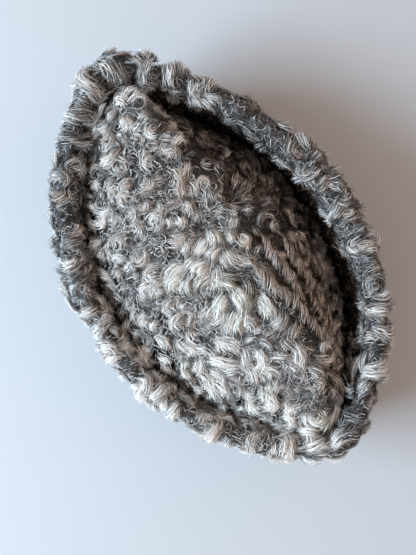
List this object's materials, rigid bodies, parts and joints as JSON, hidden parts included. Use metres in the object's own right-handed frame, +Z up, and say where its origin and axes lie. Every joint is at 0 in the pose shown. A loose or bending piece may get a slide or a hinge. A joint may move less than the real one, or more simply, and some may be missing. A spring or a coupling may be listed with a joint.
{
  "type": "karakul cap",
  "caption": "Boat-shaped karakul cap of grey curly lambskin, a turned-up fleece cuff round a peaked hollow crown, standing on its hem.",
  "frame": {"origin": "middle of the cap's outline, on the surface that its hem stands on", "axes": "+X along the cap towards the tip beside the cuff's seam, +Y to the side where the gap between crown and cuff is wide, +Z up"},
  "size_m": [0.2833, 0.1843, 0.1],
  "materials": {
    "cuff_fleece": "grey karakul fleece, charcoal at the roots, curled locks, soft sheen",
    "crown_fleece": "grey karakul fleece mixed with white, curled locks, soft sheen",
    "skin": "suede side of the lambskin, matt and slightly napped"
  },
  "bodies": {
    "root": {"cuff": "cuff_fleece", "crown": "crown_fleece"}
  },
  "joints": []
}
